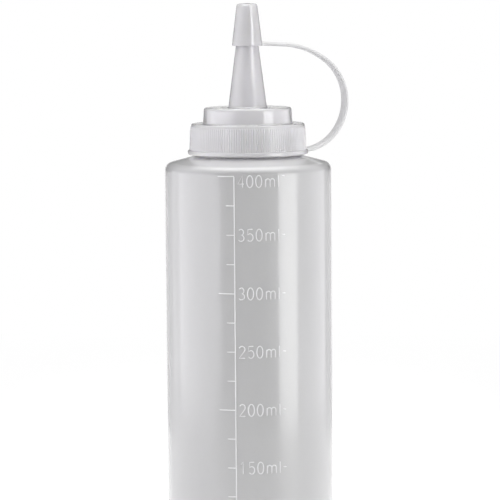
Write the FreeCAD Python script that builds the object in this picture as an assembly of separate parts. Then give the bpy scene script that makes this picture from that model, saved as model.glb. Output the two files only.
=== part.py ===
import FreeCAD, Part
import math
import os

# A 400 ml squeeze bottle with its dispensing closure, in millimetres.
# +Z is up, the bottle stands on Z = 0 and its axis is the Z axis.
# The closure is one moulding: ribbed skirt, stepped deck, nozzle, strap and tip cap.
# The strap loops out along +X.

# bottle, blow moulded
body_diameter = 58.0
body_wall = 0.8
base_wall = 1.2
heel_radius = 4.5
push_up_diameter = 42.0        # inner edge of the ring that the bottle stands on
push_up_depth = 3.5
push_up_flat = 30.0            # diameter where the dome of the base flattens
shoulder_height = 166.1        # where the body and the shoulder cone would meet
shoulder_angle = 14.5          # degrees above the horizontal
shoulder_rounding = 3.0
neck_diameter = 35.2           # over the plain neck, without thread
neck_wall = 1.5
neck_length = 9.7              # shoulder cone to sealing land
neck_root_rounding = 1.2

# closure, injection moulded
thread_depth = 1.1             # room that the neck thread takes
thread_clearance = 0.2
skirt_wall = 0.9               # at the top, under the ribs
skirt_height = 10.7
skirt_flare = 0.5              # growth of the radius from top to bottom
skirt_edge_rounding = 0.6
flange_thickness = 1.3
bead_height = 1.6
bead_proud = 0.5               # beyond the rib crests at the bottom
bead_rounding = 0.45
rib_count = 150
rib_depth = 0.3
rib_crest_share = 0.35         # crest width over pitch
rib_top_gap = 0.9              # plain band above the ribs
rib_valley_lift = 0.03         # valleys stand this proud of the plain band
deck_inset = 0.45              # deck's foot inside the neck's bore, per side
deck_height = 5.55
deck_draft = 3.5               # degrees
deck_wall = 1.2
deck_rounding = 0.9
deck_foot_rounding = 0.4
seal_depth = 2.5               # plug that enters the neck
seal_wall = 0.9
seal_clearance = 0.1
seal_lead = 0.3

# nozzle and its cap
nozzle_diameter = 13.5         # where it leaves the deck
nozzle_length = 34.6
nozzle_draft = 7.45            # degrees
nozzle_wall = 1.0
nozzle_foot_rounding = 0.6
cap_depth = 13.5               # how far the cap reaches over the nozzle
cap_wall = 1.3                 # at the rim
cap_end_wall = 1.2
cap_draft = 6.9                # degrees, outside
cap_clearance = 0.1
cap_end_gap = 0.25
cap_crown = 0.3
cap_rounding = 0.9

# strap
strap_reach = 37.05            # axis to the strap's middle at its widest
strap_belly = 17.0             # height of that point above the bead's middle
strap_lead = 9.0               # straight run beside the cap
strap_droop = 3.0              # degrees, slope of that run
strap_width_at_cap = 3.1
strap_width_at_skirt = 5.4
strap_thickness_at_cap = 1.4
strap_thickness_at_skirt = 1.5
strap_edge_share = 0.3         # edge rounding over thickness
strap_bite = 0.6               # how far the strap's ends run into the rims


def slope(degrees):
    return math.tan(math.radians(degrees))


# sizes that follow
body_radius = body_diameter / 2
neck_radius = neck_diameter / 2
bore_radius = neck_radius - neck_wall
cone = slope(shoulder_angle)
neck_root = shoulder_height + (body_radius - neck_radius) * cone
land = neck_root + neck_length

skirt_top = land + flange_thickness
skirt_bottom = skirt_top - skirt_height
skirt_bore = neck_radius + thread_depth + thread_clearance
rib_root_top = skirt_bore + skirt_wall
rib_root_bottom = rib_root_top + skirt_flare
bead_radius = rib_root_bottom + rib_depth + bead_proud
bead_top = skirt_bottom + bead_height
deck_radius = bore_radius - deck_inset
deck_top = skirt_top + deck_height
deck_top_radius = deck_radius - deck_height * slope(deck_draft)

nozzle_radius = nozzle_diameter / 2
nozzle_tip = deck_top + nozzle_length
cap_rim = nozzle_tip + cap_end_gap - cap_depth
cap_top = nozzle_tip + cap_end_gap + cap_end_wall


def nozzle_outside(z):
    return nozzle_radius - (z - deck_top) * slope(nozzle_draft)


cap_rim_radius = nozzle_outside(cap_rim) + cap_clearance + cap_wall


def rounded_wire(corners):
    """Closed outline in the XZ plane from (radius, height, rounding) corners."""
    points = [FreeCAD.Vector(r, 0, z) for r, z, _ in corners]
    edges = []
    starts, ends = [], []
    for i, (_, _, rounding) in enumerate(corners):
        here = points[i]
        back = (points[i - 1] - here).normalize()
        ahead = (points[(i + 1) % len(points)] - here).normalize()
        if rounding == 0:
            starts.append(here)
            ends.append(here)
            continue
        half = back.getAngle(ahead) / 2
        reach = rounding / math.tan(half)
        middle = (back + ahead).normalize()
        nearest = here + middle * (rounding / math.sin(half) - rounding)
        starts.append(here + back * reach)
        ends.append(here + ahead * reach)
        edges.append(Part.Arc(starts[i], nearest, ends[i]).toShape())
    for i in range(len(points)):
        following = starts[(i + 1) % len(points)]
        if ends[i].distanceToPoint(following) > 1e-6:
            edges.append(Part.makeLine(ends[i], following))
    return Part.Wire(Part.__sortEdges__(edges))


def turned(corners):
    """Solid of revolution about the Z axis."""
    face = Part.Face(rounded_wire(corners))
    return face.revolve(FreeCAD.Vector(0, 0, 0), FreeCAD.Vector(0, 0, 1), 360)


def make_bottle():
    """One hollow shell: base, body, shoulder and neck."""
    ring = push_up_diameter / 2
    dome = push_up_flat / 2
    dome_edge = push_up_depth * 0.85
    inner_radius = body_radius - body_wall
    cone_drop = body_wall / math.cos(math.radians(shoulder_angle))
    inner_shoulder = shoulder_height + body_wall * cone - cone_drop
    inner_neck_root = shoulder_height + (body_radius - bore_radius) * cone - cone_drop
    outside = [
        (0, push_up_depth, 0),
        (dome, dome_edge, 6.0),
        (ring, 0, 1.2),
        (body_radius, 0, heel_radius),
        (body_radius, shoulder_height, shoulder_rounding),
        (neck_radius, neck_root, neck_root_rounding),
        (neck_radius, land, 0),
    ]
    inside = [
        (bore_radius, land, 0),
        (bore_radius, inner_neck_root, 0),
        (inner_radius, inner_shoulder, shoulder_rounding - body_wall),
        (inner_radius, base_wall, heel_radius - body_wall),
        (ring, base_wall, 1.2),
        (dome, dome_edge + base_wall, 6.0),
        (0, push_up_depth + base_wall, 0),
    ]
    return turned(outside + inside)


def rib_ring(z):
    """Corners of all the ribs at one height, shrunk in step with the skirt's taper."""
    root_radius = rib_root_top + (skirt_top - z) * skirt_flare / skirt_height
    taper = root_radius / rib_root_bottom
    pitch = 2 * math.pi / rib_count
    crest = pitch * rib_crest_share
    corners = []
    for i in range(rib_count):
        middle = i * pitch
        for angle, lift in (
            (middle - pitch / 2, rib_valley_lift),
            (middle - crest / 2, rib_depth),
            (middle + crest / 2, rib_depth),
        ):
            radius = (rib_root_bottom + lift) * taper
            corners.append(FreeCAD.Vector(radius * math.cos(angle), radius * math.sin(angle), z))
    return corners


def make_ribs():
    """Vertical gripping ribs that flare with the skirt, each side a flat face."""
    foot = rib_ring(bead_top - bead_height / 2)
    top = rib_ring(skirt_top - rib_top_gap)
    faces = [Part.Face(Part.makePolygon(ring + ring[:1])) for ring in (foot, top)]
    for i in range(len(top)):
        quad = [foot[i - 1], foot[i], top[i], top[i - 1], foot[i - 1]]
        faces.append(Part.Face(Part.makePolygon(quad)))
    return Part.Solid(Part.Shell(faces))


def make_cap_shell():
    """The closure's outer form up to the nozzle's tip, solid inside."""
    return turned([
        (0, skirt_bottom, 0),
        (bead_radius, skirt_bottom, bead_rounding),
        (bead_radius, bead_top, bead_rounding),
        (rib_root_bottom, bead_top, 0),
        (rib_root_top, skirt_top, skirt_edge_rounding),
        (deck_radius, skirt_top, deck_foot_rounding),
        (deck_top_radius, deck_top, deck_rounding),
        (nozzle_radius, deck_top, nozzle_foot_rounding),
        (nozzle_outside(nozzle_tip), nozzle_tip, 0),
        (0, nozzle_tip, 0),
    ])


def make_cavity():
    """Everything hollow under the skirt: thread room, seal, deck and nozzle bore."""
    seal_outside = bore_radius - seal_clearance
    seal_inside = seal_outside - seal_wall
    seal_bottom = land - seal_depth
    ceiling = deck_top - deck_wall
    deck_inside = deck_radius - deck_wall
    ceiling_radius = deck_inside - (ceiling - land) * slope(deck_draft)
    bore_start = nozzle_outside(deck_top) - nozzle_wall
    bore_end = nozzle_outside(nozzle_tip) - nozzle_wall
    return turned([
        (0, skirt_bottom - 1, 0),
        (skirt_bore, skirt_bottom - 1, 0),
        (skirt_bore, land, 0),
        (seal_outside, land, 0),
        (seal_outside - seal_lead, seal_bottom, 0),
        (seal_inside, seal_bottom, 0),
        (seal_inside, land, 0),
        (deck_inside, land, 0),
        (ceiling_radius, ceiling, 0),
        (bore_start, ceiling, 0),
        (bore_end, nozzle_tip + 1, 0),
        (0, nozzle_tip + 1, 0),
    ])


def make_tip_cap():
    """Tapered cap that sits on the nozzle."""
    outside_top = cap_rim_radius - (cap_top - cap_rim) * slope(cap_draft)
    inside_rim = nozzle_outside(cap_rim) + cap_clearance
    inside_top = nozzle_outside(nozzle_tip) + cap_clearance
    inner_end = cap_top - cap_end_wall
    return turned([
        (0, cap_top, 0),
        (outside_top * 0.6, cap_top - cap_crown * 0.4, 0),
        (outside_top, cap_top - cap_crown, cap_rounding),
        (cap_rim_radius, cap_rim, 0.2),
        (inside_rim, cap_rim, 0),
        (inside_top, inner_end, 0),
        (0, inner_end, 0),
    ])


def biarc(start, start_heading, end, end_heading):
    """Two arcs that leave start and reach end along the given headings."""
    across = end - start
    both = start_heading + end_heading
    bend = 2 * (start_heading.dot(end_heading) - 1)
    lean = -2 * across.dot(both)
    arm = (-lean - math.sqrt(lean * lean - 4 * bend * across.dot(across))) / (2 * bend)
    first_corner = start + start_heading * arm
    second_corner = end - end_heading * arm
    joint = (first_corner + second_corner) * 0.5
    heading = (second_corner - first_corner).normalize()
    return [
        tangent_arc(start, start_heading, joint),
        tangent_arc(joint, heading, end),
    ]


def tangent_arc(start, heading, end):
    """Arc in the XZ plane that starts along heading."""
    chord = end - start
    half = heading.getAngle(chord)
    side = FreeCAD.Vector(0, 1, 0).cross(chord).normalize()
    if side.dot(heading) < 0:
        side = side * -1
    rise = chord.Length / 2 * math.tan(half / 2)
    return Part.Arc(start, start + chord * 0.5 + side * rise, end).toShape()


def strap_section(centre, heading, width, thickness):
    """Rounded rectangle across the strap's path."""
    edge = thickness * strap_edge_share
    across = FreeCAD.Vector(0, 1, 0)
    up = heading.cross(across).normalize()
    corners = []
    for a, b in ((-1, -1), (1, -1), (1, 1), (-1, 1)):
        corners.append(centre + across * (a * width / 2) + up * (b * thickness / 2))
    edges = []
    for i, here in enumerate(corners):
        back = (corners[i - 1] - here).normalize()
        ahead = (corners[(i + 1) % 4] - here).normalize()
        nearest = here + (back + ahead) * (edge * (1 - math.sqrt(0.5)))
        edges.append(Part.Arc(here + back * edge, nearest, here + ahead * edge).toShape())
        following = corners[(i + 1) % 4] - ahead * edge
        edges.append(Part.makeLine(here + ahead * edge, following))
    return Part.Wire(edges)


def make_strap():
    """Flat strap from the tip cap's rim round to the bead, held at both ends."""
    droop = math.radians(strap_droop)
    lead_heading = FreeCAD.Vector(math.cos(droop), 0, -math.sin(droop))
    down = FreeCAD.Vector(0, 0, -1)
    inward = FreeCAD.Vector(-1, 0, 0)
    start_height = cap_rim + strap_thickness_at_cap / 2
    bead_middle = skirt_bottom + bead_height / 2
    start = FreeCAD.Vector(cap_rim_radius - strap_bite, 0, start_height)
    lead_end = start + lead_heading * strap_lead
    widest = FreeCAD.Vector(strap_reach, 0, bead_middle + strap_belly)
    root = FreeCAD.Vector(bead_radius - strap_bite, 0, bead_middle)
    path = [Part.makeLine(start, lead_end)]
    path += biarc(lead_end, lead_heading, widest, down)
    path += biarc(widest, down, root, inward)
    pipe = Part.BRepOffsetAPI.MakePipeShell(Part.Wire(path))
    pipe.setBiNormalMode(FreeCAD.Vector(0, 1, 0))
    pipe.add(strap_section(start, lead_heading, strap_width_at_cap, strap_thickness_at_cap))
    pipe.add(strap_section(root, inward, strap_width_at_skirt, strap_thickness_at_skirt))
    pipe.build()
    pipe.makeSolid()
    return pipe.shape()


def make_closure():
    """Skirt, deck, nozzle, strap and tip cap as one moulding."""
    moulding = make_cap_shell().fuse(make_ribs()).cut(make_cavity())
    return moulding.fuse([make_tip_cap(), make_strap()]).removeSplitter()


os.makedirs("parts", exist_ok=True)
nodes = {
    "bottle": make_bottle(),
    "closure": make_closure(),
}
for name, shape in nodes.items():
    solid = shape.Solids[0] if len(shape.Solids) == 1 else shape
    solid.exportStep("parts/" + name + ".step")
    print(name, len(shape.Solids), "solid", round(shape.Volume), "mm3")
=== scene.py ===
import math

import bmesh
import bpy
from mathutils import Matrix, Quaternion, Vector, noise


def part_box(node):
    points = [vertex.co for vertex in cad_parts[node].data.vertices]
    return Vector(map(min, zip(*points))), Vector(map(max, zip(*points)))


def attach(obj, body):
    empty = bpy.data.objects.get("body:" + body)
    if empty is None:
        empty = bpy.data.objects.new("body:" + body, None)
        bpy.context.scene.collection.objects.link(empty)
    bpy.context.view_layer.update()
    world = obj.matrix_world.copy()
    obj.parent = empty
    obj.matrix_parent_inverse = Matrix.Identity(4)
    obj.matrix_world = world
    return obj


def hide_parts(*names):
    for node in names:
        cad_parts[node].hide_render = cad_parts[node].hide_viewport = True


# A 400 ml squeeze bottle of milky polyethylene with its nozzle closure, strap and tip cap.
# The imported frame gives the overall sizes; the rest is in the dictionary beside each piece.

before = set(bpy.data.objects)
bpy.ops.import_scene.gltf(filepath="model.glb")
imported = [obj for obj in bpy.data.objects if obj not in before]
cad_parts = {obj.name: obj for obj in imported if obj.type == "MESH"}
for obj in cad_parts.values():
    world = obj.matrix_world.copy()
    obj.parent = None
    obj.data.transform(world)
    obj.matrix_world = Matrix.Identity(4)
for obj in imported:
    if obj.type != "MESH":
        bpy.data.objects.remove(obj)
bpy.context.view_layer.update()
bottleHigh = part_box("bottle")[1]
closureLow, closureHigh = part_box("closure")
mm = 0.001
print("frame loaded:", sorted(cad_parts))

view = dict(
    azimuth=-22.0,          # degrees, 0 looks along +Y
    elevation=5.8,
    distance=0.92,
    aimHeight=0.1356,
    aimAside=0.00045,       # to the camera's right
    roll=-0.43,             # degrees
    widthSeen=0.1751,       # metres across the picture at the aim point
    sensorWidth=36.0,
    clipNear=0.05,
    clipFar=40.0,
)
frontAngle = math.radians(-90 + view["azimuth"])


# helpers for shapes

def slope(degrees):
    return math.tan(math.radians(degrees))


def smoothStep(low, high, value):
    t = min(1, max(0, (value - low) / (high - low)))
    return t * t * (3 - 2 * t)


def evenAngles(count):
    return [2 * math.pi * k / count for k in range(count)]


def runBetween(start, end, longest, guard):
    # points strictly between two ends, with one close to each end to keep the shading of the run flat
    length = (end - start).length
    if length < 4 * guard:
        return []
    pieces = max(1, math.ceil((length - 2 * guard) / longest))
    distances = [guard + (length - 2 * guard) * k / pieces for k in range(pieces + 1)]
    return [start.lerp(end, d / length) for d in distances]


def roundedProfile(corners, arcSteps=7, longest=4 * mm, guard=0.25 * mm):
    # (radius, height, rounding) corners become points along straight runs and arcs
    spots = [Vector(corner[:2]) for corner in corners]
    arcs = []
    for i, (here, corner) in enumerate(zip(spots, corners)):
        rounding = corner[2]
        if rounding == 0 or i in (0, len(corners) - 1):
            arcs.append([here])
            continue
        back = (spots[i - 1] - here).normalized()
        ahead = (spots[i + 1] - here).normalized()
        half = back.angle(ahead) / 2
        centre = here + (back + ahead).normalized() * (rounding / math.sin(half))
        first = here + back * (rounding / math.tan(half)) - centre
        last = here + ahead * (rounding / math.tan(half)) - centre
        sweep = math.atan2(first.x * last.y - first.y * last.x, first.dot(last))
        arcs.append([
            centre + Matrix.Rotation(sweep * k / arcSteps, 2) @ first
            for k in range(arcSteps + 1)
        ])
    points = []
    for i, arc in enumerate(arcs):
        points += arc
        if i < len(arcs) - 1:
            points += runBetween(arc[-1], arcs[i + 1][0], longest, guard)
    return points


def bridge(mesh, first, second):
    # joins two rings whose counts match, or where one count is a whole multiple of the other
    few, many = sorted((first, second), key=len)
    step = len(many) // len(few)
    if len(few) == 1:
        for k in range(len(many)):
            mesh.faces.new((few[0], many[k], many[(k + 1) % len(many)]))
        return
    for i, here in enumerate(few):
        following = few[(i + 1) % len(few)]
        run = [many[(i * step + k) % len(many)] for k in range(step + 1)]
        if step == 1:
            mesh.faces.new((here, run[0], run[1], following))
            continue
        half = step // 2
        for k in range(step):
            mesh.faces.new((here if k < half else following, run[k], run[k + 1]))
        mesh.faces.new((here, run[half], following))


def keepMesh(name, mesh, sharpAngle=50):
    data = bpy.data.meshes.new(name)
    mesh.to_mesh(data)
    mesh.free()
    for polygon in data.polygons:
        polygon.use_smooth = True
    data.set_sharp_from_angle(angle=math.radians(sharpAngle))
    piece = bpy.data.objects.new(name, data)
    bpy.context.scene.collection.objects.link(piece)
    return piece


def lathe(name, rows, loop=False):
    # rows are (radius, height, angles, relief), from pole to pole or round a loop
    mesh = bmesh.new()
    rings = []
    for radius, height, angles, relief in rows:
        if radius < 0.001 * mm:     # a pole
            rings.append([mesh.verts.new((0, 0, height))])
            continue
        ring = []
        for angle in angles:
            reach = radius + (relief(angle, height) if relief else 0)
            ring.append(mesh.verts.new((reach * math.cos(angle), reach * math.sin(angle), height)))
        rings.append(ring)
    for i in range(len(rings) - (0 if loop else 1)):
        bridge(mesh, rings[i], rings[(i + 1) % len(rings)])
    bmesh.ops.recalc_face_normals(mesh, faces=mesh.faces)
    return keepMesh(name, mesh)


def fitPiece(piece, node, material):
    piece.data.materials.clear()
    piece.data.materials.append(material)
    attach(piece, "root")
    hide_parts(node)


# helpers for materials

def newGroup(name, inputs, outputs):
    # a node group with value inputs (name, default) and outputs (name, kind)
    group = bpy.data.node_groups.new(name, "ShaderNodeTree")
    for socketName, value in inputs:
        socket = group.interface.new_socket(socketName, in_out="INPUT", socket_type="NodeSocketFloat")
        socket.default_value = value
    for socketName, kind in outputs:
        group.interface.new_socket(socketName, in_out="OUTPUT", socket_type="NodeSocket" + kind)
    return group, group.nodes.new("NodeGroupInput"), group.nodes.new("NodeGroupOutput")


def addNode(tree, kind, **settings):
    node = tree.nodes.new(kind)
    for name, value in settings.items():
        setattr(node, name, value)
    return node


def mathNode(tree, operation, *values):
    node = addNode(tree, "ShaderNodeMath", operation=operation)
    for socket, value in zip(node.inputs, values):
        if isinstance(value, bpy.types.NodeSocket):
            tree.links.new(value, socket)
        else:
            socket.default_value = value
    return node.outputs[0]


def noiseNode(tree, vector, scale, detail=2.0, roughness=0.5):
    node = addNode(tree, "ShaderNodeTexNoise")
    for name, value in (("Scale", scale), ("Detail", detail), ("Roughness", roughness)):
        if isinstance(value, bpy.types.NodeSocket):
            tree.links.new(value, node.inputs[name])
        else:
            node.inputs[name].default_value = value
    tree.links.new(vector, node.inputs["Vector"])
    return node.outputs["Fac"]


def stretched(tree, vector, scale):
    node = addNode(tree, "ShaderNodeVectorMath", operation="MULTIPLY")
    tree.links.new(vector, node.inputs[0])
    node.inputs[1].default_value = scale
    return node.outputs[0]


def makeMilkyCloud():
    # soft uneven milkiness of the resin, drawn out along the bottle as it flows in the mould
    group, given, made = newGroup(
        "milkyCloud",
        [("Cloud Scale", 60.0), ("Strength", 0.1)],
        [("Tone", "Float"), ("Haze", "Float")],
    )
    place = addNode(group, "ShaderNodeTexCoord").outputs["Object"]
    flowed = stretched(group, place, (1.0, 1.0, 0.28))
    broad = noiseNode(group, flowed, given.outputs["Cloud Scale"], 3.0, 0.55)
    grain = noiseNode(group, place, 1500.0, 2.0, 0.6)
    broadShare = mathNode(group, "MULTIPLY", broad, 0.8)
    grainShare = mathNode(group, "MULTIPLY", grain, 0.2)
    mixed = mathNode(group, "ADD", broadShare, grainShare)
    centred = mathNode(group, "SUBTRACT", mixed, 0.5)
    tone = mathNode(group, "MULTIPLY", centred, given.outputs["Strength"])
    group.links.new(mathNode(group, "ADD", tone, 0.5), made.inputs["Tone"])
    group.links.new(broad, made.inputs["Haze"])
    return group


def makeMouldSkin():
    # height of the fine skin that the mould leaves, with scuffs that run round the part
    group, given, made = newGroup(
        "mouldSkin",
        [("Grain Scale", 900.0), ("Scuff Strength", 0.3)],
        [("Height", "Float"), ("Scuffs", "Float")],
    )
    place = addNode(group, "ShaderNodeTexCoord").outputs["Object"]
    grain = noiseNode(group, place, given.outputs["Grain Scale"], 3.0, 0.6)
    swell = noiseNode(group, place, 110.0, 2.0, 0.5)
    scuffPlace = stretched(group, place, (1.0, 1.0, 7.0))
    scuffs = noiseNode(group, scuffPlace, 240.0, 4.0, 0.7)
    picked = mathNode(group, "MULTIPLY", mathNode(group, "SUBTRACT", scuffs, 0.62), 6.0)
    limited = addNode(group, "ShaderNodeClamp")
    group.links.new(picked, limited.inputs["Value"])
    marks = mathNode(group, "MULTIPLY", limited.outputs[0], given.outputs["Scuff Strength"])
    height = mathNode(group, "ADD", mathNode(group, "MULTIPLY", grain, 0.35), swell)
    pressed = mathNode(group, "MULTIPLY", marks, 0.15)
    group.links.new(mathNode(group, "SUBTRACT", height, pressed), made.inputs["Height"])
    group.links.new(marks, made.inputs["Scuffs"])
    return group


milkyCloud = makeMilkyCloud()
mouldSkin = makeMouldSkin()


def placeGroup(tree, group, **values):
    node = addNode(tree, "ShaderNodeGroup", node_tree=group)
    for name, value in values.items():
        node.inputs[name.replace("_", " ")].default_value = value
    return node


def mixColours(tree, factor, first, second):
    node = addNode(tree, "ShaderNodeMix", data_type="RGBA")
    tree.links.new(factor, node.inputs["Factor"])
    node.inputs["A"].default_value = (*first, 1)
    node.inputs["B"].default_value = (*second, 1)
    return node.outputs["Result"]


def milkyPlastic(name, look):
    material = bpy.data.materials.new(name)
    material.use_nodes = True
    tree = material.node_tree
    shader = tree.nodes["Principled BSDF"]
    cloud = placeGroup(tree, milkyCloud, Cloud_Scale=look["cloudScale"], Strength=look["cloudStrength"])
    skin = placeGroup(tree, mouldSkin, Grain_Scale=look["grainScale"], Scuff_Strength=look["scuffs"])
    uneven = mathNode(tree, "MULTIPLY", mathNode(tree, "SUBTRACT", cloud.outputs["Tone"], 0.5), 4.0)
    factor = mathNode(tree, "ADD", uneven, 0.5)
    colour = mixColours(tree, factor, look["deepColour"], look["paleColour"])
    if "neckPaintedLight" in look:
        # paler from the shoulder up: painted light that lifts the shadow the skirt casts on the cone and neck
        split = addNode(tree, "ShaderNodeSeparateXYZ")
        tree.links.new(addNode(tree, "ShaderNodeTexCoord").outputs["Object"], split.inputs[0])
        rise = addNode(tree, "ShaderNodeMapRange", interpolation_type="SMOOTHSTEP")
        rise.inputs["From Min"].default_value = look["paintedLightFrom"]
        rise.inputs["From Max"].default_value = look["paintedLightTo"]
        tree.links.new(split.outputs["Z"], rise.inputs["Value"])
        paintedLightMix = addNode(tree, "ShaderNodeMix", data_type="RGBA")
        tree.links.new(rise.outputs[0], paintedLightMix.inputs["Factor"])
        tree.links.new(colour, paintedLightMix.inputs["A"])
        paintedLightMix.inputs["B"].default_value = (*look["neckPaintedLight"], 1)
        colour = paintedLightMix.outputs["Result"]
    tree.links.new(colour, shader.inputs["Base Color"])
    hazy = mathNode(tree, "MULTIPLY", mathNode(tree, "SUBTRACT", cloud.outputs["Haze"], 0.5), 0.12)
    worn = mathNode(tree, "ADD", hazy, mathNode(tree, "MULTIPLY", skin.outputs["Scuffs"], 0.2))
    tree.links.new(mathNode(tree, "ADD", worn, look["roughness"]), shader.inputs["Roughness"])
    bump = addNode(tree, "ShaderNodeBump")
    bump.inputs["Strength"].default_value = look["bumpStrength"]
    bump.inputs["Distance"].default_value = look["bumpDistance"]
    tree.links.new(skin.outputs["Height"], bump.inputs["Height"])
    tree.links.new(bump.outputs["Normal"], shader.inputs["Normal"])
    shader.inputs["IOR"].default_value = look["ior"]
    shader.inputs["Transmission Weight"].default_value = look["clearness"]
    shader.inputs["Subsurface Weight"].default_value = look["milkiness"]
    shader.inputs["Subsurface Radius"].default_value = (1.0, 1.0, 1.05)
    shader.inputs["Subsurface Scale"].default_value = look["milkDepth"]
    shader.inputs["Coat Weight"].default_value = look["gloss"]
    shader.inputs["Coat Roughness"].default_value = look["glossRoughness"]
    shader.inputs["Coat IOR"].default_value = look["glossIor"]
    return material


bottlePlastic = milkyPlastic("bottlePlastic", dict(
    deepColour=(0.545, 0.545, 0.547),
    paleColour=(0.625, 0.625, 0.627),
    # painted light: the cone and neck under the skirt are coloured paler in place of the skirt's shadow
    neckPaintedLight=(0.94, 0.94, 0.94),
    paintedLightFrom=164.5 * mm,
    paintedLightTo=170.5 * mm,
    cloudScale=45.0,
    cloudStrength=0.35,
    grainScale=900.0,
    scuffs=0.12,
    roughness=0.33,
    bumpStrength=0.25,
    bumpDistance=0.12 * mm,
    ior=1.5,
    clearness=0.15,
    milkiness=1.0,
    milkDepth=1.0 * mm,
    gloss=1.0,
    glossRoughness=0.13,
    glossIor=1.5,
))
# paler and opaque, unlike the body: a painted highlight for the light that the raised strokes catch
scaleHighlightPlastic = milkyPlastic("scaleHighlightPlastic", dict(
    deepColour=(0.76, 0.76, 0.77),
    paleColour=(0.84, 0.84, 0.85),
    cloudScale=45.0,
    cloudStrength=0.35,
    grainScale=900.0,
    scuffs=0.12,
    roughness=0.33,
    bumpStrength=0.25,
    bumpDistance=0.12 * mm,
    ior=1.5,
    clearness=0.0,
    milkiness=0.0,
    milkDepth=1.0 * mm,
    gloss=0.6,
    glossRoughness=0.13,
    glossIor=1.5,
))
closurePlastic = milkyPlastic("closurePlastic", dict(
    deepColour=(0.95, 0.93, 0.99),
    paleColour=(0.98, 0.96, 1.0),
    cloudScale=90.0,
    cloudStrength=0.3,
    grainScale=1300.0,
    scuffs=0.1,
    roughness=0.12,
    bumpStrength=0.06,
    bumpDistance=0.08 * mm,
    ior=1.5,
    clearness=0.5,
    milkiness=1.0,
    milkDepth=1.5 * mm,
    gloss=0.6,
    glossRoughness=0.08,
    glossIor=1.5,
))
strapPlastic = milkyPlastic("strapPlastic", dict(
    deepColour=(0.68, 0.68, 0.68),
    paleColour=(0.75, 0.75, 0.75),
    cloudScale=90.0,
    cloudStrength=0.3,
    grainScale=1300.0,
    scuffs=0.1,
    roughness=0.45,
    bumpStrength=0.06,
    bumpDistance=0.08 * mm,
    ior=1.5,
    clearness=0.0,
    milkiness=0.4,
    milkDepth=0.5 * mm,
    gloss=0.1,
    glossRoughness=0.1,
    glossIor=1.5,
))
print("materials made")


# the bottle: one blown shell with its neck thread

bottleShape = dict(
    wall=0.8 * mm,
    baseWall=1.2 * mm,
    heelRounding=4.5 * mm,
    standingRing=21.0 * mm,     # inner edge of the ring it stands on
    pushUpDepth=3.5 * mm,
    pushUpFlat=15.0 * mm,
    coneAngle=14.5,             # degrees
    shoulderRounding=3.0 * mm,
    neckRadius=17.6 * mm,
    neckWall=1.5 * mm,
    neckLength=9.7 * mm,
    neckRootRounding=1.2 * mm,
    pushUpEdge=0.85,            # share of the depth left at the rim of the flat
    domeRounding=6.0 * mm,
    ringRounding=1.2 * mm,
    innerRootRounding=1.0 * mm,
    lipRounding=0.3 * mm,
    lipStart=0.35 * mm,         # under the land
    threadFrom=1.3 * mm,        # plain part of the neck over its root
    threadEnd=0.4 * mm,         # under the land
    threadRowStep=0.3 * mm,     # rows this close carry the thread
    waviness=0.05 * mm,
    wavesFrom=6.0 * mm,         # the foot under this height stays true
    waveStretch=14.0,
    broadWave=1.3,
    fineWave=3.1,
    fineWaveShare=0.4,
    seamProud=0.07 * mm,
    seamWidth=0.5 * mm,
    columns=180,
)
neckThread = dict(
    startAbove=2.6 * mm,        # over the neck's root
    pitch=3.6 * mm,
    turns=1.5,
    proud=0.95 * mm,
    crest=0.5 * mm,
    foot=2.0 * mm,
    fade=28.0,                  # degrees of run-out at each end
    beginsAt=150.0,             # degrees
)
bodyRadius = bottleHigh.x
land = bottleHigh.z
coneSlope = slope(bottleShape["coneAngle"])
neckRadius = bottleShape["neckRadius"]
neckRoot = land - bottleShape["neckLength"]
shoulderHeight = neckRoot - (bodyRadius - neckRadius) * coneSlope
seamAngles = [frontAngle - math.pi / 2, frontAngle + math.pi / 2]


def seamColumns(count, seams, spread):
    # even columns, with a few close ones at each mould seam
    angles = evenAngles(count)
    for seam in seams:
        angles = [a for a in angles if abs((a - seam + math.pi) % (2 * math.pi) - math.pi) > spread * 1.6]
        angles += [(seam + spread * k) % (2 * math.pi) for k in (-1, -0.5, 0, 0.5, 1)]
    return sorted(angles)


bottleColumns = seamColumns(bottleShape["columns"], seamAngles, bottleShape["seamWidth"] / bodyRadius)


def bodyWave(angle, height):
    s = bottleShape
    place = Vector((math.cos(angle), math.sin(angle), height * s["waveStretch"]))
    broad = noise.noise(place * s["broadWave"])
    return s["waviness"] * (broad + s["fineWaveShare"] * noise.noise(place * s["fineWave"]))


def seamRidge(angle):
    ridge = 0
    for seam in seamAngles:
        away = abs((angle - seam + math.pi) % (2 * math.pi) - math.pi) * bodyRadius
        ridge = max(ridge, 1 - smoothStep(0, bottleShape["seamWidth"], away))
    return ridge * bottleShape["seamProud"]


def bodyRelief(angle, height):
    return bodyWave(angle, height) + seamRidge(angle)


def helixRelief(shape, base, angle, height):
    # how far a helical thread stands proud at this place
    turned = (angle - math.radians(shape["beginsAt"])) % (2 * math.pi)
    proud = 0
    total = shape["turns"] * 2 * math.pi
    fade = math.radians(shape["fade"])
    for lap in range(3):
        along = turned + lap * 2 * math.pi
        if along > total:
            continue
        middle = base + shape["startAbove"] + shape["pitch"] * along / (2 * math.pi)
        flank = 1 - smoothStep(shape["crest"] / 2, shape["foot"] / 2, abs(height - middle))
        runOut = smoothStep(0, fade, along) * smoothStep(0, fade, total - along)
        proud = max(proud, shape["proud"] * flank * runOut)
    return proud


def neckRelief(angle, height):
    return helixRelief(neckThread, neckRoot, angle, height) + seamRidge(angle)


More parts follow.
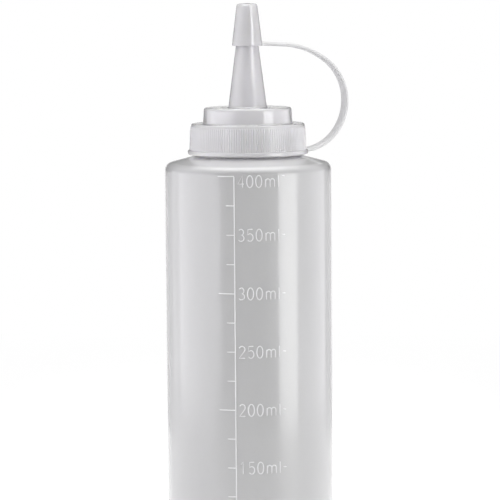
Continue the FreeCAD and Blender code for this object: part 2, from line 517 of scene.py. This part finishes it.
def makeBottle():
    s = bottleShape
    innerRadius = bodyRadius - s["wall"]
    boreRadius = neckRadius - s["neckWall"]
    coneDrop = s["wall"] / math.cos(math.radians(s["coneAngle"]))
    innerShoulder = shoulderHeight + s["wall"] * coneSlope - coneDrop
    innerNeckRoot = shoulderHeight + (bodyRadius - boreRadius) * coneSlope - coneDrop
    domeEdge = s["pushUpDepth"] * s["pushUpEdge"]
    threadStart = neckRoot + s["threadFrom"]
    outside = roundedProfile([
        (0, s["pushUpDepth"], 0),
        (s["pushUpFlat"], domeEdge, s["domeRounding"]),
        (s["standingRing"], 0, s["ringRounding"]),
        (bodyRadius, 0, s["heelRounding"]),
        (bodyRadius, shoulderHeight, s["shoulderRounding"]),
        (neckRadius, neckRoot, s["neckRootRounding"]),
        (neckRadius, threadStart, 0),
    ], arcSteps=9)
    threadRun = land - s["threadEnd"] - threadStart
    neckRows = int(threadRun / s["threadRowStep"])
    neck = [
        Vector((neckRadius, threadStart + threadRun * k / neckRows))
        for k in range(1, neckRows + 1)
    ]
    lip = roundedProfile([
        (neckRadius, land - s["lipStart"], 0),
        (neckRadius, land, s["lipRounding"]),
        (boreRadius, land, s["lipRounding"]),
        (boreRadius, innerNeckRoot, s["innerRootRounding"]),
        (innerRadius, innerShoulder, s["shoulderRounding"] - s["wall"]),
        (innerRadius, s["baseWall"], s["heelRounding"] - s["wall"]),
        (s["standingRing"], s["baseWall"], s["ringRounding"]),
        (s["pushUpFlat"], domeEdge + s["baseWall"], s["domeRounding"]),
        (0, s["pushUpDepth"] + s["baseWall"], 0),
    ], arcSteps=8)
    rows = []
    for p in outside:
        waved = p.x > bodyRadius / 2 and p.y > s["wavesFrom"]
        rows.append((p.x, p.y, bottleColumns, bodyRelief if waved else None))
    rows += [(p.x, p.y, bottleColumns, neckRelief) for p in neck]
    for p in lip:
        waved = s["wavesFrom"] < p.y < shoulderHeight
        rows.append((p.x, p.y, bottleColumns, bodyWave if waved else None))
    return lathe("bottleShell", rows)


fitPiece(makeBottle(), "bottle", bottlePlastic)
print("bottle made")


# the volume scale: raised lines and figures on the body

scaleShape = dict(
    topMark=163.5 * mm,         # height of the 400 ml tick
    step=10.0 * mm,             # from one tick to the next
    marks=15,
    topVolume=400,              # ml
    stepVolume=25,
    longEvery=100,
    figuresEvery=50,
    lineTurn=-9.6,              # degrees round from the front
    longTick=5.8 * mm,
    shortTick=2.9 * mm,
    textGap=1.15 * mm,          # line to the first figure
    figureHeight=4.1 * mm,
    figurePitch=3.05 * mm,
    mPitch=4.9 * mm,
    dashAfter=15.3 * mm,        # a short dash follows each figure
    dashLength=1.3 * mm,
    strokeRadius=0.24 * mm,
    strokeSunk=0.08 * mm,       # centre of the stroke under the surface
    nibLength=0.22 * mm,        # a short taper at each end of a stroke
    nibThickness=0.35,          # share of the stroke's thickness
    topTextDrop=1.75 * mm,      # the highest figures hang under their tick
)


def arcPoints(cx, cy, rx, ry, start, end, steps=10):
    angles = [math.radians(start + (end - start) * k / steps) for k in range(steps + 1)]
    return [(cx + rx * math.cos(a), cy + ry * math.sin(a)) for a in angles]


figureStrokes = {           # strokes in a box one unit high
    "0": [arcPoints(0.28, 0.5, 0.25, 0.5, 90, 450, 18)],
    "1": [[(0.12, 0.78), (0.3, 1), (0.3, 0)]],
    "2": [arcPoints(0.28, 0.74, 0.24, 0.26, 165, -35) + [(0.04, 0), (0.54, 0)]],
    "3": [arcPoints(0.27, 0.75, 0.21, 0.25, 150, -90), arcPoints(0.27, 0.26, 0.25, 0.26, 90, -150)],
    "4": [[(0.42, 0), (0.42, 1), (0.03, 0.3), (0.56, 0.3)]],
    "5": [[(0.5, 1), (0.12, 1), (0.07, 0.55)] + arcPoints(0.27, 0.32, 0.25, 0.32, 130, -145)],
    "m": [
        [(0.11, 0), (0.11, 0.7)],
        [(0.11, 0.45)] + arcPoints(0.305, 0.5, 0.185, 0.2, 165, 0, 7) + [(0.49, 0)],
        [(0.49, 0.45)] + arcPoints(0.685, 0.5, 0.185, 0.2, 165, 0, 7) + [(0.87, 0)],
    ],
    "l": [[(0.02, 1), (0.02, 0)]],
}


def onBody(aside, height, sunk):
    angle = frontAngle + math.radians(scaleShape["lineTurn"]) + aside / bodyRadius
    reach = bodyRadius - sunk
    return Vector((reach * math.cos(angle), reach * math.sin(angle), height))


def raisedStrokes(name, strokes):
    # strokes are lists of (aside, height) on the unrolled body; each becomes a thin rounded ridge
    curve = bpy.data.curves.new(name, "CURVE")
    curve.dimensions = "3D"
    curve.bevel_depth = scaleShape["strokeRadius"]
    curve.bevel_resolution = 2
    curve.use_fill_caps = True
    for stroke in strokes:
        points = [Vector(p) for p in stroke]
        isLoop = (points[0] - points[-1]).length < 0.01 * mm
        if isLoop:
            points = points[:-1]
        else:
            nib = scaleShape["nibLength"]
            points.insert(1, points[0] + (points[1] - points[0]).normalized() * nib)
            points.insert(-1, points[-1] + (points[-2] - points[-1]).normalized() * nib)
        spline = curve.splines.new("POLY")
        spline.points.add(len(points) - 1)
        for k, (point, p) in enumerate(zip(spline.points, points)):
            atEnd = not isLoop and k in (0, len(points) - 1)
            point.co = (*onBody(p.x, p.y, scaleShape["strokeSunk"]), 1)
            point.radius = scaleShape["nibThickness"] if atEnd else 1.0
        spline.use_cyclic_u = isLoop
    holder = bpy.data.objects.new(name + "Line", curve)
    data = bpy.data.meshes.new_from_object(holder)
    data.name = name
    bpy.data.objects.remove(holder)
    bpy.data.curves.remove(curve)
    for polygon in data.polygons:
        polygon.use_smooth = True
    piece = bpy.data.objects.new(name, data)
    bpy.context.scene.collection.objects.link(piece)
    return piece


def denseLine(start, end, longest=1.0 * mm):
    pieces = max(1, math.ceil((Vector(end) - Vector(start)).length / longest))
    return [tuple(Vector(start).lerp(Vector(end), k / pieces)) for k in range(pieces + 1)]


def makeScale():
    s = scaleShape
    lines, figures = [], []
    lowest = s["topMark"] - s["step"] * (s["marks"] - 1)
    lines.append([(0, s["topMark"]), (0, lowest)])
    for k in range(s["marks"]):
        height = s["topMark"] - s["step"] * k
        volume = s["topVolume"] - s["stepVolume"] * k
        tick = s["longTick"] if volume % s["longEvery"] == 0 else s["shortTick"]
        lines.append(denseLine((-tick, height), (0, height)))
        if volume % s["figuresEvery"] == 0:
            foot = height - s["figureHeight"] / 2 - (s["topTextDrop"] if k == 0 else 0)
            aside = s["textGap"]
            for letter in str(volume) + "ml":
                for stroke in figureStrokes[letter]:
                    tall = s["figureHeight"]
                    figures.append([(aside + x * tall, foot + y * tall) for x, y in stroke])
                aside += s["mPitch"] if letter == "m" else s["figurePitch"]
            dash = s["textGap"] + s["dashAfter"]
            lines.append([(dash, height), (dash + s["dashLength"], height)])
    for name, strokes in (("scaleLines", lines), ("scaleFigures", figures)):
        piece = raisedStrokes(name, strokes)
        # the strokes carry the painted highlight colour
        piece.data.materials.append(scaleHighlightPlastic)
        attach(piece, "root")


makeScale()
print("volume scale made")


# the closure: ribbed skirt, stepped deck and nozzle turned as one shell, and the tip cap

closureShape = dict(
    flange=1.3 * mm,            # over the bottle's land
    skirtBore=18.9 * mm,
    skirtWall=0.9 * mm,
    skirtFlare=0.5 * mm,
    skirtTopRounding=0.6 * mm,
    beadHeight=1.6 * mm,
    beadProud=0.5 * mm,
    beadRounding=0.45 * mm,
    footLead=0.3 * mm,          # opens the skirt's bore at its foot
    ribs=150,
    ribDepth=0.24 * mm,
    ribTopGap=0.9 * mm,
    ribEase=0.6 * mm,           # how far under their tops the ribs start to round over
    ribRows=6,
    columnsPerRib=6,
    deckRadius=15.65 * mm,
    deckHeight=5.55 * mm,
    deckDraft=3.5,              # degrees
    deckWall=1.2 * mm,
    deckRounding=0.9 * mm,
    deckFootRounding=0.4 * mm,
    sealOutside=16.0 * mm,
    sealWall=0.9 * mm,
    sealDepth=2.5 * mm,
    sealLead=0.3 * mm,
    threadTop=0.3 * mm,         # under the land
    threadFoot=0.9 * mm,        # over the skirt's foot
    threadRowStep=0.3 * mm,
    nozzleRadius=6.75 * mm,
    nozzleLength=34.6 * mm,
    nozzleDraft=7.45,           # degrees
    nozzleWall=1.0 * mm,
    nozzleFootRounding=0.6 * mm,
)
capShape = dict(
    depth=13.5 * mm,            # how far it reaches over the nozzle
    wall=1.3 * mm,
    endWall=1.2 * mm,
    draft=6.9,                  # degrees
    clearance=0.1 * mm,
    endGap=0.25 * mm,
    crown=0.3 * mm,
    rounding=0.9 * mm,
    columns=96,
)
innerThread = dict(
    neckThread,
    startAbove=neckThread["startAbove"] - neckThread["pitch"] / 2,
    foot=1.5 * mm,
    crest=0.4 * mm,
)
skirtTop = land + closureShape["flange"]
skirtBottom = closureLow.z
deckTop = skirtTop + closureShape["deckHeight"]
nozzleTip = deckTop + closureShape["nozzleLength"]
beadTop = skirtBottom + closureShape["beadHeight"]
ribRootTop = closureShape["skirtBore"] + closureShape["skirtWall"]
ribRootBottom = ribRootTop + closureShape["skirtFlare"]
beadRadius = ribRootBottom + closureShape["ribDepth"] + closureShape["beadProud"]
capTop = closureHigh.z
capRim = nozzleTip + capShape["endGap"] - capShape["depth"]


def nozzleOutside(height):
    return closureShape["nozzleRadius"] - (height - deckTop) * slope(closureShape["nozzleDraft"])


def makeClosure():
    s = closureShape
    ribTop = skirtTop - s["ribTopGap"]
    coarse = evenAngles(s["ribs"])
    fine = evenAngles(s["ribs"] * s["columnsPerRib"])
    rows = []

    def addPlain(points, relief=None):
        rows.extend((p.x, p.y, coarse, relief) for p in points)

    def ribRoot(height):
        return ribRootTop + (skirtTop - height) / (skirtTop - skirtBottom) * s["skirtFlare"]

    def ribRelief(lift):
        def relief(angle, height):
            wave = 0.5 + 0.5 * math.cos(angle * s["ribs"])
            return s["ribDepth"] * lift * smoothStep(0.02, 0.8, wave)
        return relief

    # bead at the foot of the skirt
    addPlain(roundedProfile([
        (s["skirtBore"] + s["footLead"], skirtBottom, 0),
        (beadRadius, skirtBottom, s["beadRounding"]),
        (beadRadius, beadTop, s["beadRounding"]),
        (ribRootBottom + s["ribDepth"] + 0.03 * mm, beadTop, 0),
    ], guard=0.1 * mm))

    # ribs, rounded over at their tops
    straight = ribTop - s["ribEase"] - beadTop
    ribRows = [(beadTop + straight * k / s["ribRows"], 1.0) for k in range(s["ribRows"] + 1)]
    rounded = ((0.42, 0.96), (0.27, 0.85), (0.14, 0.62), (0.05, 0.32), (0, 0))
    ribRows += [(ribTop - drop * mm, lift) for drop, lift in rounded]
    for height, lift in ribRows:
        rows.append((ribRoot(height), height, fine, ribRelief(lift)))

    # flange, deck and nozzle outside, then bore, deck, seal and skirt inside
    ceiling = deckTop - s["deckWall"]
    deckInside = s["deckRadius"] - s["deckWall"]
    boreStart = nozzleOutside(deckTop) - s["nozzleWall"]
    boreEnd = nozzleOutside(nozzleTip) - s["nozzleWall"]
    sealInside = s["sealOutside"] - s["sealWall"]
    sealBottom = land - s["sealDepth"]
    threadTop = land - s["threadTop"]
    threadRun = skirtBottom + s["threadFoot"] - threadTop
    addPlain(roundedProfile([
        (ribRoot(ribTop + 0.1 * mm), ribTop + 0.1 * mm, 0),
        (ribRootTop, skirtTop, s["skirtTopRounding"]),
        (s["deckRadius"], skirtTop, s["deckFootRounding"]),
        (s["deckRadius"] - s["deckHeight"] * slope(s["deckDraft"]), deckTop, s["deckRounding"]),
        (s["nozzleRadius"], deckTop, s["nozzleFootRounding"]),
        (nozzleOutside(nozzleTip), nozzleTip, 0.25 * mm),
        (boreEnd, nozzleTip, 0.2 * mm),
        (boreStart, ceiling, 0.5 * mm),
        (deckInside - (ceiling - land) * slope(s["deckDraft"]), ceiling, 0.5 * mm),
        (deckInside, land, 0.2 * mm),
        (sealInside, land, 0.15 * mm),
        (sealInside, sealBottom, 0.25 * mm),
        (s["sealOutside"] - s["sealLead"], sealBottom, 0.3 * mm),
        (s["sealOutside"], land, 0),
        (s["skirtBore"], land, 0.2 * mm),
        (s["skirtBore"], threadTop, 0),
    ], arcSteps=6, guard=0.15 * mm))
    threadRows = int(-threadRun / s["threadRowStep"])
    threadHeights = [threadTop + threadRun * k / threadRows for k in range(1, threadRows + 1)]
    addPlain(
        [Vector((s["skirtBore"], height)) for height in threadHeights],
        lambda angle, height: -helixRelief(innerThread, neckRoot, angle, height),
    )
    addPlain([Vector((s["skirtBore"], skirtBottom + s["footLead"]))])
    return lathe("closureShell", rows, loop=True)


def makeTipCap():
    s = capShape
    rimRadius = nozzleOutside(capRim) + s["clearance"] + s["wall"]
    outsideTop = rimRadius - (capTop - capRim) * slope(s["draft"])
    insideRim = nozzleOutside(capRim) + s["clearance"]
    insideTop = nozzleOutside(nozzleTip) + s["clearance"]
    innerEnd = capTop - s["endWall"]
    profile = roundedProfile([
        (0, capTop, 0),
        (outsideTop * 0.6, capTop - s["crown"] * 0.4, 3 * mm),
        (outsideTop, capTop - s["crown"], s["rounding"]),
        (rimRadius, capRim, 0.2 * mm),
        (insideRim, capRim, 0.12 * mm),
        (insideTop, innerEnd, 0.3 * mm),
        (0, innerEnd, 0),
    ], guard=0.15 * mm)
    columns = evenAngles(s["columns"])
    return lathe("tipCap", [(p.x, p.y, columns, None) for p in profile])


# the strap: a flat band that loops from the tip cap's rim to the bead

strapShape = dict(
    reach=37.05 * mm,           # axis to its middle at the widest
    belly=17.0 * mm,            # height of that point over the bead's middle
    lead=9.0 * mm,
    droop=3.0,                  # degrees
    widthAtCap=3.1 * mm,
    widthAtSkirt=5.4 * mm,
    thicknessAtCap=1.4 * mm,
    thicknessAtSkirt=1.5 * mm,
    bite=0.6 * mm,
    squareness=3.2,             # of the section, 2 is an oval
    flare=1.25,                 # how much wider its ends are
    flareLength=2.2 * mm,
    leadSteps=24,
    arcSteps=60,
    sectionPoints=36,
)


def tangentArc(start, heading, end, steps):
    # points of the arc that leaves start along heading and reaches end
    chord = end - start
    normal = Vector((-heading.y, heading.x))
    away = chord.dot(normal)
    radius = chord.length_squared / (2 * away)
    centre = start + normal * radius
    sweep = 2 * math.atan2(away, chord.dot(heading))
    spoke = start - centre
    return [centre + Matrix.Rotation(sweep * k / steps, 2) @ spoke for k in range(steps + 1)]


def biarc(start, startHeading, end, endHeading, steps):
    across = end - start
    both = startHeading + endHeading
    bend = 2 * (startHeading.dot(endHeading) - 1)
    lean = -2 * across.dot(both)
    arm = (-lean - math.sqrt(lean * lean - 4 * bend * across.dot(across))) / (2 * bend)
    firstCorner = start + startHeading * arm
    secondCorner = end - endHeading * arm
    joint = (firstCorner + secondCorner) / 2
    heading = (secondCorner - firstCorner).normalized()
    return tangentArc(start, startHeading, joint, steps) + tangentArc(joint, heading, end, steps)[1:]


def makeStrap():
    s = strapShape
    rimRadius = nozzleOutside(capRim) + capShape["clearance"] + capShape["wall"]
    beadMiddle = skirtBottom + closureShape["beadHeight"] / 2
    droop = math.radians(s["droop"])
    leadHeading = Vector((math.cos(droop), -math.sin(droop)))
    start = Vector((rimRadius - s["bite"], capRim + s["thicknessAtCap"] / 2))
    leadEnd = start + leadHeading * s["lead"]
    widest = Vector((s["reach"], beadMiddle + s["belly"]))
    root = Vector((beadRadius - s["bite"], beadMiddle))
    path = [start.lerp(leadEnd, k / s["leadSteps"]) for k in range(s["leadSteps"])]
    path += biarc(leadEnd, leadHeading, widest, Vector((0, -1)), s["arcSteps"])
    path += biarc(widest, Vector((0, -1)), root, Vector((-1, 0)), s["arcSteps"])[1:]
    travelled = [0]
    for here, following in zip(path, path[1:]):
        travelled.append(travelled[-1] + (following - here).length)
    length = travelled[-1]
    mesh = bmesh.new()
    rings = []
    for i, here in enumerate(path):
        heading = (path[min(i + 1, len(path) - 1)] - path[max(i - 1, 0)]).normalized()
        if i == 0:
            heading = leadHeading
        if i == len(path) - 1:
            heading = Vector((-1, 0))
        up = Vector((-heading.y, heading.x))
        share = travelled[i] / length
        nearEnd = 1 - smoothStep(0, s["flareLength"], min(travelled[i], length - travelled[i]))
        wide = s["widthAtCap"] + (s["widthAtSkirt"] - s["widthAtCap"]) * share
        wide *= 1 + (s["flare"] - 1) * nearEnd
        thick = s["thicknessAtCap"] + (s["thicknessAtSkirt"] - s["thicknessAtCap"]) * share
        ring = []
        for angle in evenAngles(s["sectionPoints"]):
            c, n = math.cos(angle), math.sin(angle)
            across = math.copysign(abs(c) ** (2 / s["squareness"]), c) * wide / 2
            rise = math.copysign(abs(n) ** (2 / s["squareness"]), n) * thick / 2
            spot = here + up * rise
            ring.append(mesh.verts.new((spot.x, across, spot.y)))
        rings.append(ring)
    for first, second in zip(rings, rings[1:]):
        bridge(mesh, first, second)
    mesh.faces.new(rings[0])
    mesh.faces.new(rings[-1])
    bmesh.ops.recalc_face_normals(mesh, faces=mesh.faces)
    return keepMesh("strap", mesh)


fitPiece(makeClosure(), "closure", closurePlastic)
fitPiece(makeTipCap(), "closure", closurePlastic)
fitPiece(makeStrap(), "closure", strapPlastic)
print("closure made")


# floor, light and camera

studio = dict(
    ambient=0.60,
    horizon=1.0,            # the low band of the studio that lights the object from all round
    horizonTop=0.10,        # sines of the heights where the band starts and ends to fade
    horizonFade=0.40,
    ceiling=0.15,           # what reflections find above the white backdrop
    sweepTop=0.02,
    sweepFade=0.09,
    skylight=1.6,           # a broad light overhead, seen in reflections only
    skylightFade=0.55,
    skylightFull=0.85,
    shineAhead=0.01,        # how far a shine lamp stands before its softbox
    shineHeight=0.24,       # low enough to miss the flat tops seen from behind
)
coolTint = (0.97, 0.955, 1.0)
softboxes = dict(           # turns in degrees round from the camera, 1 is white
    left=dict(
        fromTurn=-110.0, toTurn=-38.0, reach=0.5, height=0.7,
        level=0.95, shine=0.9, tint=coolTint,
    ),
    rightStrip=dict(
        fromTurn=41.0, toTurn=69.0, reach=0.5, height=0.7,
        level=1.05, shine=3.4, tint=(1, 1, 1),
    ),
    right=dict(
        fromTurn=72.0, toTurn=128.0, reach=0.5, height=0.7,
        level=0.8, shine=0.2, tint=coolTint,
    ),
    leftWash=dict(
        fromTurn=-145.0, toTurn=-112.0, reach=0.6, height=0.6,
        level=0.5, shine=0.0, tint=coolTint,
    ),
)
topSoftbox = dict(
    reach=0.05,
    height=0.75,
    aimHeight=0.1,
    wide=0.7,
    deep=0.5,
    level=1.75,
)
tipShine = dict(            # a small high strip that the nozzle and the tip cap mirror
    turn=46.0,
    reach=0.49,
    height=0.320,
    wide=0.16,
    high=0.06,
    level=5.0,
)
sideFlags = dict(           # cards behind the object on both sides, light below and dark above
    fromTurn=128.0,
    toTurn=162.0,
    reach=0.45,
    top=0.6,
    lowTone=0.8,
    highTone=0.04,
    toneFrom=0.12,
    toneTo=0.16,
)
floorShape = dict(
    rings=(0, 0.1, 0.25, 0.5, 1.0, 2.0, 4.0, 8.0),
    columns=64,
    deepTone=0.86,
    paleTone=0.90,
    glow=0.35,              # seen by the camera and in reflections, on top of the light
    whiteFrom=0.25,         # plain white grows in between these distances
    whiteTo=0.8,
)


def makeFloor():
    mesh = bmesh.new()
    rings = []
    for radius in floorShape["rings"]:
        angles = evenAngles(floorShape["columns"] if radius else 1)
        rings.append([mesh.verts.new((radius * math.cos(a), radius * math.sin(a), 0)) for a in angles])
    for first, second in zip(rings, rings[1:]):
        bridge(mesh, first, second)
    bmesh.ops.recalc_face_normals(mesh, faces=mesh.faces)
    floor = keepMesh("floor", mesh)
    material = bpy.data.materials.new("paleFloor")
    material.use_nodes = True
    tree = material.node_tree
    shader = tree.nodes["Principled BSDF"]
    place = addNode(tree, "ShaderNodeTexCoord").outputs["Object"]
    mottle = noiseNode(tree, place, 30.0, 3.0)
    deep, pale = ((floorShape[tone],) * 3 for tone in ("deepTone", "paleTone"))
    tree.links.new(mixColours(tree, mottle, deep, pale), shader.inputs["Base Color"])
    shader.inputs["Roughness"].default_value = 0.6
    shader.inputs["Specular IOR Level"].default_value = 0.2
    path = addNode(tree, "ShaderNodeLightPath")
    glossy, through = path.outputs["Is Glossy Ray"], path.outputs["Is Transmission Ray"]
    indirect = mathNode(tree, "MAXIMUM", glossy, through)
    seen = mathNode(tree, "MAXIMUM", path.outputs["Is Camera Ray"], indirect)
    shader.inputs["Emission Color"].default_value = (1, 1, 1, 1)
    tree.links.new(mathNode(tree, "MULTIPLY", seen, floorShape["glow"]), shader.inputs["Emission Strength"])
    glow = addNode(tree, "ShaderNodeEmission")
    tree.links.new(seen, glow.inputs["Strength"])
    distance = addNode(tree, "ShaderNodeVectorMath", operation="LENGTH")
    tree.links.new(place, distance.inputs[0])
    fade = addNode(tree, "ShaderNodeMapRange")
    fade.inputs["From Min"].default_value = floorShape["whiteFrom"]
    fade.inputs["From Max"].default_value = floorShape["whiteTo"]
    tree.links.new(distance.outputs["Value"], fade.inputs["Value"])
    mix = addNode(tree, "ShaderNodeMixShader")
    tree.links.new(fade.outputs[0], mix.inputs[0])
    tree.links.new(shader.outputs[0], mix.inputs[1])
    tree.links.new(glow.outputs[0], mix.inputs[2])
    tree.links.new(mix.outputs[0], tree.nodes["Material Output"].inputs["Surface"])
    floor.data.materials.append(material)


def makeWorld():
    world = bpy.data.worlds.new("paleStudio")
    bpy.context.scene.world = world
    world.use_nodes = True
    tree = world.node_tree
    background = tree.nodes["Background"]
    path = addNode(tree, "ShaderNodeLightPath")
    heading = addNode(tree, "ShaderNodeSeparateXYZ")
    tree.links.new(addNode(tree, "ShaderNodeTexCoord").outputs["Generated"], heading.inputs[0])

    def fade(fromMin, fromMax, toMin, toMax):
        node = addNode(tree, "ShaderNodeMapRange", interpolation_type="SMOOTHSTEP")
        names = ("From Min", "From Max", "To Min", "To Max")
        for name, value in zip(names, (fromMin, fromMax, toMin, toMax)):
            node.inputs[name].default_value = value
        tree.links.new(heading.outputs["Z"], node.inputs["Value"])
        return node.outputs[0]

    sweep = fade(studio["sweepTop"], studio["sweepFade"], 1.0, studio["ceiling"])
    skylight = fade(studio["skylightFade"], studio["skylightFull"], 0.0, studio["skylight"])
    band = fade(studio["horizonTop"], studio["horizonFade"], studio["horizon"], studio["ambient"])
    glossy = path.outputs["Is Glossy Ray"]
    mirrored = mathNode(tree, "MULTIPLY", glossy, mathNode(tree, "ADD", sweep, skylight))
    around = mathNode(tree, "MULTIPLY", mathNode(tree, "SUBTRACT", 1.0, glossy), band)
    background.inputs["Color"].default_value = (1, 1, 1, 1)
    light = mathNode(tree, "ADD", mirrored, around)
    strength = mathNode(tree, "MAXIMUM", path.outputs["Is Camera Ray"], light)
    tree.links.new(strength, background.inputs["Strength"])


def makeFlags():
    material = bpy.data.materials.new("flagCloth")
    material.use_nodes = True
    tree = material.node_tree
    shader = tree.nodes["Principled BSDF"]
    place = addNode(tree, "ShaderNodeTexCoord").outputs["Object"]
    split = addNode(tree, "ShaderNodeSeparateXYZ")
    tree.links.new(place, split.inputs[0])
    rise = addNode(tree, "ShaderNodeMapRange", interpolation_type="SMOOTHSTEP")
    rise.inputs["From Min"].default_value = sideFlags["toneFrom"]
    rise.inputs["From Max"].default_value = sideFlags["toneTo"]
    tree.links.new(split.outputs["Z"], rise.inputs["Value"])
    weave = mathNode(tree, "SUBTRACT", noiseNode(tree, place, 300.0), 0.5)
    factor = mathNode(tree, "ADD", rise.outputs[0], mathNode(tree, "MULTIPLY", weave, 0.1))
    low, high = ((sideFlags[tone],) * 3 for tone in ("lowTone", "highTone"))
    tree.links.new(mixColours(tree, factor, low, high), shader.inputs["Base Color"])
    shader.inputs["Roughness"].default_value = 0.9
    for side, name in ((-1, "leftFlag"), (1, "rightFlag")):
        mesh = bmesh.new()
        turns = (side * sideFlags["fromTurn"], side * sideFlags["toTurn"])
        foot = [aroundFront(turn, sideFlags["reach"], 0) for turn in turns]
        top = [Vector((p.x, p.y, sideFlags["top"])) for p in foot]
        mesh.faces.new([mesh.verts.new(p) for p in (foot[0], foot[1], top[1], top[0])])
        flag = keepMesh(name, mesh)
        flag.data.materials.append(material)
        flag.visible_camera = False


def makeLamp(name, place, target, width, height, level, tint=(1, 1, 1)):
    # level is the lamp's own brightness, where 1 is white
    data = bpy.data.lights.new(name, "AREA")
    data.shape = "RECTANGLE"
    data.size = width
    data.size_y = height
    data.energy = level * math.pi * width * height
    data.color = tint
    lamp = bpy.data.objects.new(name, data)
    bpy.context.scene.collection.objects.link(lamp)
    lamp.location = place
    lamp.rotation_mode = "QUATERNION"
    lamp.rotation_quaternion = (Vector(target) - Vector(place)).to_track_quat("-Z", "Y")
    lamp.visible_camera = False
    return lamp


def aroundFront(turn, reach, height):
    angle = frontAngle + math.radians(turn)
    return Vector((math.cos(angle) * reach, math.sin(angle) * reach, height))


def inReflectionsOnly(lamp):
    lamp.visible_diffuse = False
    lamp.visible_transmission = False


def makeLamps():
    for name, box in softboxes.items():
        half = math.radians(box["toTurn"] - box["fromTurn"]) / 2
        turn = (box["fromTurn"] + box["toTurn"]) / 2
        width = 2 * box["reach"] * math.tan(half)
        middle = box["height"] / 2
        place = aroundFront(turn, box["reach"], middle)
        makeLamp(name + "Softbox", place, (0, 0, middle), width, box["height"], box["level"], box["tint"])
        if box["shine"]:
            # the same box again for reflections only, lower and a little nearer
            tall = studio["shineHeight"]
            nearer = aroundFront(turn, box["reach"] - studio["shineAhead"], tall / 2)
            shine = makeLamp(name + "Shine", nearer, (0, 0, tall / 2), width, tall, box["shine"], box["tint"])
            inReflectionsOnly(shine)
    tip = tipShine
    place = aroundFront(tip["turn"], tip["reach"], tip["height"])
    strip = makeLamp("tipShine", place, (0, 0, tip["height"]), tip["wide"], tip["high"], tip["level"])
    inReflectionsOnly(strip)
    top = topSoftbox
    place = aroundFront(0, top["reach"], top["height"])
    makeLamp("topSoftbox", place, (0, 0, top["aimHeight"]), top["wide"], top["deep"], top["level"])


def makeCamera():
    a, e = math.radians(view["azimuth"]), math.radians(view["elevation"])
    back = Vector((math.sin(a) * math.cos(e), -math.cos(a) * math.cos(e), math.sin(e)))
    right = Vector((math.cos(a), math.sin(a), 0))
    aim = Vector((0, 0, view["aimHeight"])) + right * view["aimAside"]
    data = bpy.data.cameras.new("camera")
    data.sensor_width = view["sensorWidth"]
    data.lens = view["sensorWidth"] * view["distance"] / view["widthSeen"]
    data.clip_start = view["clipNear"]
    data.clip_end = view["clipFar"]
    camera = bpy.data.objects.new("camera", data)
    bpy.context.scene.collection.objects.link(camera)
    camera.location = aim + back * view["distance"]
    camera.rotation_mode = "QUATERNION"
    roll = Quaternion((0, 0, 1), math.radians(view["roll"]))
    camera.rotation_quaternion = (-back).to_track_quat("-Z", "Y") @ roll
    bpy.context.scene.camera = camera


makeFloor()
makeWorld()
makeLamps()
makeFlags()
makeCamera()
bpy.context.scene.view_settings.view_transform = "Standard"
print("stage, light and camera made")
